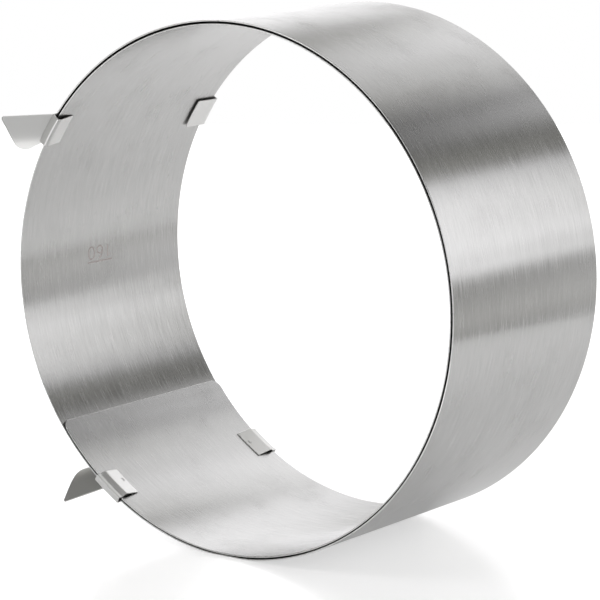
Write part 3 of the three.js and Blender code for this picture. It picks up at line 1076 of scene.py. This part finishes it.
def tent_material():
    """Glow of the walls by angle and depth. The camera sees through it."""
    nodes, _ = new_material("light_tent")
    built_in = nodes.tree.nodes
    built_in.remove(built_in["Principled BSDF"])
    part = nodes.split(nodes.coordinate("Object"))
    turn = nodes.math("ARCTAN2", part["Z"], part["X"])
    turn = nodes.math("FRACT", nodes.math("MULTIPLY_ADD", turn, 1 / tau, 1.0))
    level = light_ramp(nodes, turn, FRONT_LIGHTS)
    for start, stops in LIGHT_ZONES:
        low, high = start - ZONE_BLEND / 2, start + ZONE_BLEND / 2
        beyond = nodes.remap(part["Y"], low, high, smooth=False)
        step = nodes.math("SUBTRACT", light_ramp(nodes, turn, stops), level)
        level = nodes.math("MULTIPLY_ADD", step, beyond, level)
    level = nodes.math("MULTIPLY", level, chosen("studio").light)
    tint = nodes.add("ShaderNodeValToRGB")
    nodes.link(level, tint.inputs["Fac"])
    for stop, shade in zip(tint.color_ramp.elements, (DIM_TINT, BRIGHT_TINT)):
        stop.color = (*shade, 1)
    glow = nodes.add("ShaderNodeEmission")
    nodes.fill(glow.inputs, Color=tint.outputs["Color"], Strength=level)
    mix = nodes.add("ShaderNodeMixShader")
    nodes.link(nodes.ray("Is Camera Ray"), mix.inputs["Fac"])
    nodes.link(glow.outputs["Emission"], mix.inputs[1])
    nodes.link(nodes.add("ShaderNodeBsdfTransparent").outputs["BSDF"], mix.inputs[2])
    nodes.link(mix.outputs["Shader"], built_in["Material Output"].inputs["Surface"])
    bpy.data.materials["light_tent"].cycles.emission_sampling = "NONE"


def light_tent():
    """Curved walls round the ring, unseen by the camera, that light it and show in the steel."""
    low, high = TENT_ANGLES
    points = []
    for k in range(TENT_STEPS + 1):
        angle = radians(low + (high - low) * k / TENT_STEPS)
        x, z = TENT_RADIUS * cos(angle), TENT_RADIUS * sin(angle)
        points += [(x, depth, z) for depth in TENT_DEPTHS]
    faces = [(2 * k, 2 * k + 1, 2 * k + 3, 2 * k + 2) for k in range(TENT_STEPS)]
    tent_material()
    stage_piece("light_tent", points, faces, "light_tent", CENTRE)


def table_material():
    """White, with a faint mirror image and a light of its own."""
    nodes, shader = new_material("white_table")
    tint = (*chosen("studio").table, 1)
    nodes.fill(shader, Base_Color=tint, Roughness=0.22, Specular_IOR_Level=0.35)
    spot = nodes.coordinate("Object")
    depth, away = nodes.split(spot)["Y"], nodes.vector("LENGTH", spot)
    in_steel = nodes.remap(depth, *TABLE_MIRROR_LIFT)
    in_steel = nodes.math("MULTIPLY", nodes.ray("Is Glossy Ray"), in_steel)
    plain = nodes.remap(away, *TABLE_LIFT)
    lift = nodes.math("MULTIPLY_ADD", nodes.ray("Is Camera Ray"), plain, in_steel)
    nodes.fill(shader, Emission_Color=(1, 1, 1, 1), Emission_Strength=lift)


def white_table():
    """White table top that shows the ring's soft shadow and a faint mirror image."""
    ahead = Vector((*CAMERA_AIM[:2], 0)).normalized()
    right = Vector((ahead.y, -ahead.x, 0))
    table_material()
    points = [tuple(right * side + ahead * far) for side in TABLE_SIDES for far in TABLE_DEPTHS]
    stage_piece("table", points, [(0, 2, 3, 1)], "white_table")


def photo_camera():
    """The camera of the photograph. Its place is in mm."""
    camera = add_object("camera", bpy.data.cameras.new("camera"))
    camera.location = Vector(CAMERA_PLACE) * MM
    camera.rotation_euler = Vector(CAMERA_AIM).to_track_quat("-Z", "Y").to_euler()
    camera.data.lens = 186.1
    camera.data.sensor_width = 36
    camera.data.clip_start = 0.01
    bpy.context.scene.camera = camera
    bpy.context.scene.view_settings.view_transform = "Standard"


# Operators


class RingOperator:
    bl_options = {"REGISTER", "UNDO"}

    def execute(self, context):
        self.make()
        return {"FINISHED"}


class MakeBand(RingOperator, bpy.types.Operator):
    """Builds the rolled band, one piece round each bend line, with the scale etched inside"""

    bl_idname = "cake_ring.make_band"
    bl_label = "Band"

    def make(self):
        for number in range(STRIPS + 1):
            band_piece(number)


class MakeInnerClips(RingOperator, bpy.types.Operator):
    """Builds the two clips welded to the inner end of the band"""

    bl_idname = "cake_ring.make_inner_clips"
    bl_label = "Inner clips"

    def make(self):
        line = inner_clip_line()
        clips = chosen("clips")
        top = -(clip_seat() + clips.sheet / 2 + INNER_WELD_RISE * clips.arch)
        for name, side in (("front", -1), ("back", 1)):
            clip_piece("inner", name, INNER_BODY, line, INNER_CLIP_WRAP, side, INNER_WELDS, top)


class MakeOuterClips(RingOperator, bpy.types.Operator):
    """Builds the two clips welded to the outer end of the band"""

    bl_idname = "cake_ring.make_outer_clips"
    bl_label = "Outer clips"

    def make(self):
        top = clip_seat() + chosen("clips").sheet / 2
        for name, side, depth, arch, lift, shift in OUTER_CLIPS:
            line = outer_clip_line(depth * MM, arch * MM, lift * MM)
            wrap = OUTER_CLIP_WRAP + shift * MM / drawn_radius(OUTER_CLIP_WRAP)
            clip_piece("outer", name, OUTER_BODY, line, wrap, side, OUTER_WELDS, top)


class MakeFingerTabs(RingOperator, bpy.types.Operator):
    """Builds the two finger tabs that squeeze the ring open or closed"""

    bl_idname = "cake_ring.make_finger_tabs"
    bl_label = "Finger tabs"

    def make(self):
        tab_piece("inner", INNER_BODY, INNER_CLIP_WRAP)
        tab_piece("outer", OUTER_BODY, OUTER_CLIP_WRAP)


class MakeStudio(RingOperator, bpy.types.Operator):
    """Builds the white table, the studio light and the camera of the photograph"""

    bl_idname = "cake_ring.make_studio"
    bl_label = "Studio"

    def make(self):
        photo_camera()
        studio_world()
        light_tent()
        white_table()


class CakeRingPanel(bpy.types.Panel):
    """Sizes, colours and pieces of the cake ring"""

    bl_idname = "VIEW3D_PT_cake_ring"
    bl_label = "Adjustable cake ring"
    bl_space_type = "VIEW_3D"
    bl_region_type = "UI"
    bl_category = "Cake Ring"

    def draw(self, context):
        for settings in SETTINGS:
            group = getattr(context.scene, settings)
            box = self.layout.box()
            for name in group.bl_rna.properties.keys():
                if name not in ("rna_type", "name"):
                    box.prop(group, name)
        for operator in OPERATORS:
            self.layout.operator(operator.bl_idname)


OPERATORS = (MakeStudio, MakeBand, MakeInnerClips, MakeOuterClips, MakeFingerTabs)
SETTINGS = {
    "cake_ring_band": BandSizes,
    "cake_ring_clips": ClipSizes,
    "cake_ring_steel": SteelLook,
    "cake_ring_studio": StudioLook,
}
CLASSES = (*SETTINGS.values(), *OPERATORS, CakeRingPanel)


def register():
    for item in CLASSES:
        bpy.utils.register_class(item)
    for settings, group in SETTINGS.items():
        setattr(bpy.types.Scene, settings, PointerProperty(type=group))


def unregister():
    for settings in SETTINGS:
        delattr(bpy.types.Scene, settings)
    for item in reversed(CLASSES):
        bpy.utils.unregister_class(item)


def main():
    register()
    bpy.ops.cake_ring.make_studio()
    bpy.ops.cake_ring.make_band()
    bpy.ops.cake_ring.make_inner_clips()
    bpy.ops.cake_ring.make_outer_clips()
    bpy.ops.cake_ring.make_finger_tabs()


if __name__ == "__main__":
    main()
